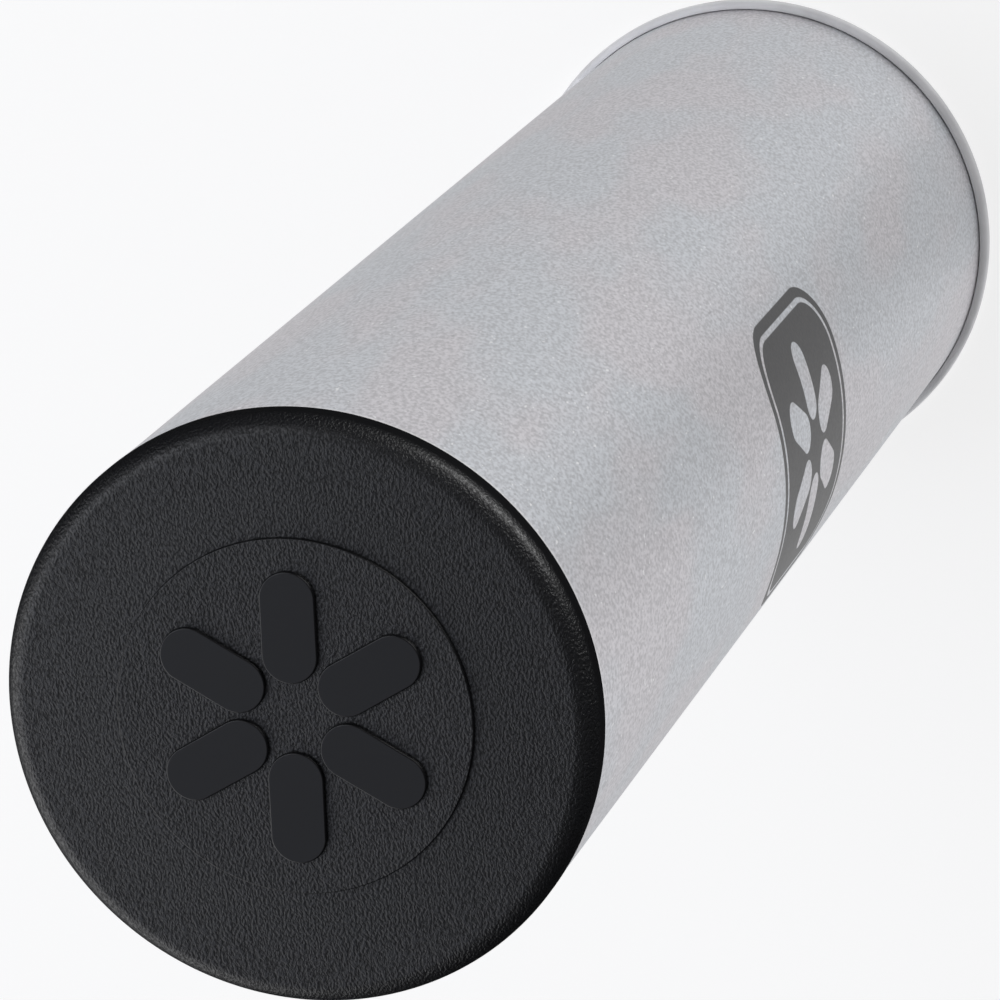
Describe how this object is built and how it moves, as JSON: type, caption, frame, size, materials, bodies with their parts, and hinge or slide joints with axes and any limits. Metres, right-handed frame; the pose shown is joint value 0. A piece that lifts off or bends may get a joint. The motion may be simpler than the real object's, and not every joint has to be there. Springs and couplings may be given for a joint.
{
  "type": "tubular shaker",
  "caption": "Hand-held tubular shaker: a silver metal tube with a rolled metal end, a black grained cap and loose steel shot that slides from end to end to make the sound.",
  "frame": {"origin": "middle of the ring that the metal end stands on", "axes": "+Z along the tube's axis, from the metal end up to the black cap; -Y is the side with the printed mark"},
  "size_m": [0.0571, 0.057, 0.196],
  "materials": {
    "tube_metal": "bead-blasted silver",
    "cap_plastic": "leather grain",
    "plate_metal": "satin",
    "shot_steel": "polished"
  },
  "bodies": {
    "shell": {"body_tube": "tube_metal", "end_cap": "cap_plastic", "end_plate": "plate_metal"},
    "shot_core": {"shot_core": "shot_steel"},
    "shot_ring1_arc1": {"shot_ring1_arc1": "shot_steel"},
    "shot_ring2_arc1": {"shot_ring2_arc1": "shot_steel"},
    "shot_ring2_arc2": {"shot_ring2_arc2": "shot_steel"},
    "shot_ring3_arc1": {"shot_ring3_arc1": "shot_steel"},
    "shot_ring3_arc2": {"shot_ring3_arc2": "shot_steel"},
    "shot_ring3_arc3": {"shot_ring3_arc3": "shot_steel"},
    "shot_ring4_arc1": {"shot_ring4_arc1": "shot_steel"},
    "shot_ring4_arc2": {"shot_ring4_arc2": "shot_steel"},
    "shot_ring4_arc3": {"shot_ring4_arc3": "shot_steel"},
    "shot_ring4_arc4": {"shot_ring4_arc4": "shot_steel"},
    "shot_ring5_arc1": {"shot_ring5_arc1": "shot_steel"},
    "shot_ring5_arc2": {"shot_ring5_arc2": "shot_steel"},
    "shot_ring5_arc3": {"shot_ring5_arc3": "shot_steel"},
    "shot_ring5_arc4": {"shot_ring5_arc4": "shot_steel"},
    "shot_ring5_arc5": {"shot_ring5_arc5": "shot_steel"},
    "shot_ring6_arc1": {"shot_ring6_arc1": "shot_steel"},
    "shot_ring6_arc2": {"shot_ring6_arc2": "shot_steel"},
    "shot_ring6_arc3": {"shot_ring6_arc3": "shot_steel"},
    "shot_ring6_arc4": {"shot_ring6_arc4": "shot_steel"},
    "shot_ring6_arc5": {"shot_ring6_arc5": "shot_steel"},
    "shot_ring6_arc6": {"shot_ring6_arc6": "shot_steel"}
  },
  "joints": [
    {"name": "shot_core_slide", "type": "slide", "parent": "shell", "child": "shot_core", "axis": [0, 0, 1], "range_m": [0, 0.17615]},
    {"name": "shot_ring1_arc1_slide", "type": "slide", "parent": "shell", "child": "shot_ring1_arc1", "axis": [0, 0, 1], "range_m": [0, 0.17615]},
    {"name": "shot_ring2_arc1_slide", "type": "slide", "parent": "shell", "child": "shot_ring2_arc1", "axis": [0, 0, 1], "range_m": [0, 0.17615]},
    {"name": "shot_ring2_arc2_slide", "type": "slide", "parent": "shell", "child": "shot_ring2_arc2", "axis": [0, 0, 1], "range_m": [0, 0.17615]},
    {"name": "shot_ring3_arc1_slide", "type": "slide", "parent": "shell", "child": "shot_ring3_arc1", "axis": [0, 0, 1], "range_m": [0, 0.17615]},
    {"name": "shot_ring3_arc2_slide", "type": "slide", "parent": "shell", "child": "shot_ring3_arc2", "axis": [0, 0, 1], "range_m": [0, 0.17615]},
    {"name": "shot_ring3_arc3_slide", "type": "slide", "parent": "shell", "child": "shot_ring3_arc3", "axis": [0, 0, 1], "range_m": [0, 0.17615]},
    {"name": "shot_ring4_arc1_slide", "type": "slide", "parent": "shell", "child": "shot_ring4_arc1", "axis": [0, 0, 1], "range_m": [0, 0.17615]},
    {"name": "shot_ring4_arc2_slide", "type": "slide", "parent": "shell", "child": "shot_ring4_arc2", "axis": [0, 0, 1], "range_m": [0, 0.17615]},
    {"name": "shot_ring4_arc3_slide", "type": "slide", "parent": "shell", "child": "shot_ring4_arc3", "axis": [0, 0, 1], "range_m": [0, 0.17615]},
    {"name": "shot_ring4_arc4_slide", "type": "slide", "parent": "shell", "child": "shot_ring4_arc4", "axis": [0, 0, 1], "range_m": [0, 0.17615]},
    {"name": "shot_ring5_arc1_slide", "type": "slide", "parent": "shell", "child": "shot_ring5_arc1", "axis": [0, 0, 1], "range_m": [0, 0.17615]},
    {"name": "shot_ring5_arc2_slide", "type": "slide", "parent": "shell", "child": "shot_ring5_arc2", "axis": [0, 0, 1], "range_m": [0, 0.17615]},
    {"name": "shot_ring5_arc3_slide", "type": "slide", "parent": "shell", "child": "shot_ring5_arc3", "axis": [0, 0, 1], "range_m": [0, 0.17615]},
    {"name": "shot_ring5_arc4_slide", "type": "slide", "parent": "shell", "child": "shot_ring5_arc4", "axis": [0, 0, 1], "range_m": [0, 0.17615]},
    {"name": "shot_ring5_arc5_slide", "type": "slide", "parent": "shell", "child": "shot_ring5_arc5", "axis": [0, 0, 1], "range_m": [0, 0.17615]},
    {"name": "shot_ring6_arc1_slide", "type": "slide", "parent": "shell", "child": "shot_ring6_arc1", "axis": [0, 0, 1], "range_m": [0, 0.16345]},
    {"name": "shot_ring6_arc2_slide", "type": "slide", "parent": "shell", "child": "shot_ring6_arc2", "axis": [0, 0, 1], "range_m": [0, 0.16345]},
    {"name": "shot_ring6_arc3_slide", "type": "slide", "parent": "shell", "child": "shot_ring6_arc3", "axis": [0, 0, 1], "range_m": [0, 0.16345]},
    {"name": "shot_ring6_arc4_slide", "type": "slide", "parent": "shell", "child": "shot_ring6_arc4", "axis": [0, 0, 1], "range_m": [0, 0.16345]},
    {"name": "shot_ring6_arc5_slide", "type": "slide", "parent": "shell", "child": "shot_ring6_arc5", "axis": [0, 0, 1], "range_m": [0, 0.16345]},
    {"name": "shot_ring6_arc6_slide", "type": "slide", "parent": "shell", "child": "shot_ring6_arc6", "axis": [0, 0, 1], "range_m": [0, 0.16345]}
  ]
}
